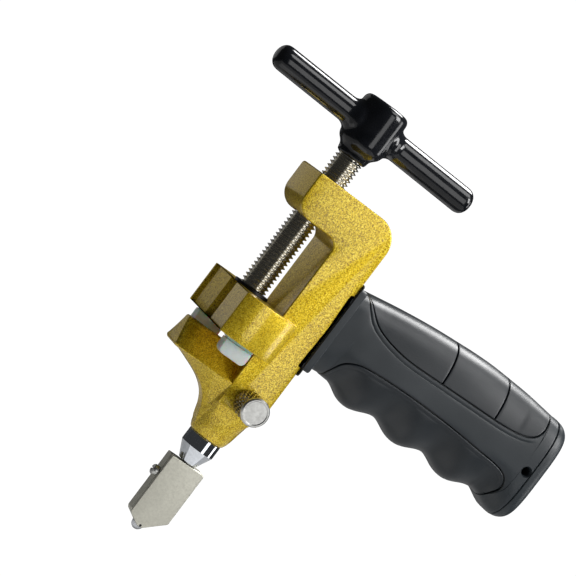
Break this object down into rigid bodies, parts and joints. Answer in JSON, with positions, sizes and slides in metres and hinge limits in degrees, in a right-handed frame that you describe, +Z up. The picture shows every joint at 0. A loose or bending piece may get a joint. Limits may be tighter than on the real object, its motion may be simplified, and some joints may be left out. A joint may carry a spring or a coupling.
{
  "type": "glass cutter",
  "caption": "Hand-held glass and tile cutter with a swivelling wheel head, a screw-driven snapping jaw over an anvil, a T-handle and a pistol grip.",
  "frame": {"origin": "where the cutter shank's swivel axis meets the work surface", "axes": "+Z up along the shank and parallel to the clamp screw, +X from the stem towards the butt of the grip, +Y to the far side"},
  "size_m": [0.1675, 0.044, 0.1642],
  "materials": {
    "gold_paint": "metallic speckled gold enamel over a die casting",
    "pad_nylon": "milky translucent",
    "dark_steel": "blackened",
    "screw_steel": "machined",
    "black_vinyl": "glossy dipped",
    "brass_plug": "turned",
    "nickel_steel": "turned, satin",
    "collar_chrome": "polished",
    "head_nickel": "satin nickel",
    "wheel_carbide": "ground",
    "grip_plastic": "satin moulded",
    "grip_insert": "soft satin"
  },
  "bodies": {
    "frame": {"c_frame": "gold_paint", "grip_body": "grip_plastic", "thumb_pad_front": "grip_insert", "thumb_pad_middle": "grip_insert", "thumb_pad_rear": "grip_insert", "finger_pad": "grip_insert", "butt_cap": "grip_plastic", "grip_bolts": "dark_steel", "grip_washers": "nickel_steel"},
    "jaw": {"moving_jaw": "gold_paint", "near_pad": "pad_nylon", "far_pad": "pad_nylon", "thrust_washer": "dark_steel"},
    "screw": {"spindle": "screw_steel", "cross_bar": "screw_steel", "handle_coat": "black_vinyl", "retaining_clip": "dark_steel"},
    "plug": {"clamp_plug": "brass_plug"},
    "thumb_screw": {"thumb_screw": "nickel_steel"},
    "shank": {"cutter_shank": "nickel_steel", "collar": "collar_chrome"},
    "head": {"head_block": "head_nickel", "head_plate": "head_nickel", "head_screw": "dark_steel", "wheel_axle": "dark_steel"},
    "wheel": {"cutting_wheel": "wheel_carbide"}
  },
  "joints": [
    {"name": "jaw_slide", "type": "slide", "parent": "frame", "child": "jaw", "axis": [0, 0, 1], "range_m": [-0.003, 0.0274]},
    {"name": "screw_turn", "type": "hinge", "parent": "jaw", "child": "screw", "pos_m": [-0.0188, 0, 0.1], "axis": [0, 0, 1], "range_deg": [-730, 6590]},
    {"name": "plug_slide", "type": "slide", "parent": "frame", "child": "plug", "axis": [0, -1, 0], "range_m": [0, 0.003]},
    {"name": "thumb_turn", "type": "hinge", "parent": "plug", "child": "thumb_screw", "pos_m": [0, -0.015, 0.0571], "axis": [0, -1, 0], "range_deg": [-5, 1360]},
    {"name": "head_release", "type": "slide", "parent": "frame", "child": "shank", "axis": [0, 0, -1], "range_m": [0, 0.03]},
    {"name": "head_swivel", "type": "hinge", "parent": "shank", "child": "head", "pos_m": [0, 0, 0.028], "axis": [0, 0, 1], "range_deg": [-15, 15]},
    {"name": "wheel_spin", "type": "hinge", "parent": "head", "child": "wheel", "pos_m": [-0.0008, 0, 0.00245], "axis": [0, 1, 0], "continuous": true}
  ],
  "couplings": [
    {"joint": "screw_turn", "follows": "jaw_slide", "rad_per_m": 4188.8},
    {"joint": "thumb_turn", "follows": "plug_slide", "rad_per_m": 7854}
  ]
}
